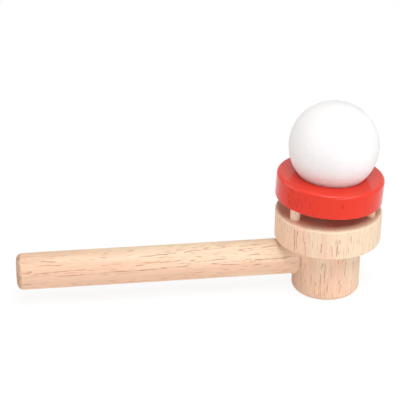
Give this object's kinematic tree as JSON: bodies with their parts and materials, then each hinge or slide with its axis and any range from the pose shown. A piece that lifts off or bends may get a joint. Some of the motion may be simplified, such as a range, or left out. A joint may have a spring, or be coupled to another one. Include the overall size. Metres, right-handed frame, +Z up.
{
  "type": "floating ball pipe toy",
  "caption": "Turned wooden blow pipe: breath through the long stem leaves the round head as a jet that lifts a light foam ball off a red ring seat held over the head on pegs.",
  "frame": {"origin": "centre of the foot's flat face, where the bowl's axis meets what the toy stands on", "axes": "+Z up along the bowl's axis, the way the air jet blows and the ball rises; -X out along the stem to the mouth end; -Y towards the side that the picture shows"},
  "size_m": [0.1501, 0.0436, 0.0822],
  "materials": {
    "bare_wood": "matte",
    "dowel_wood": "matte",
    "peg_wood": "matte",
    "red_paint": "satin",
    "white_foam": "matte"
  },
  "bodies": {
    "pipe": {"pipe_bowl": "bare_wood", "pipe_stem": "dowel_wood", "ball_seat_ring": "red_paint", "ring_peg_back": "peg_wood", "ring_peg_left": "peg_wood", "ring_peg_right": "peg_wood"},
    "ball": {"float_ball": "white_foam"}
  },
  "joints": [
    {"name": "ball_float", "type": "slide", "parent": "pipe", "child": "ball", "axis": [0, 0, 1], "range_m": [0, 0.08]}
  ]
}
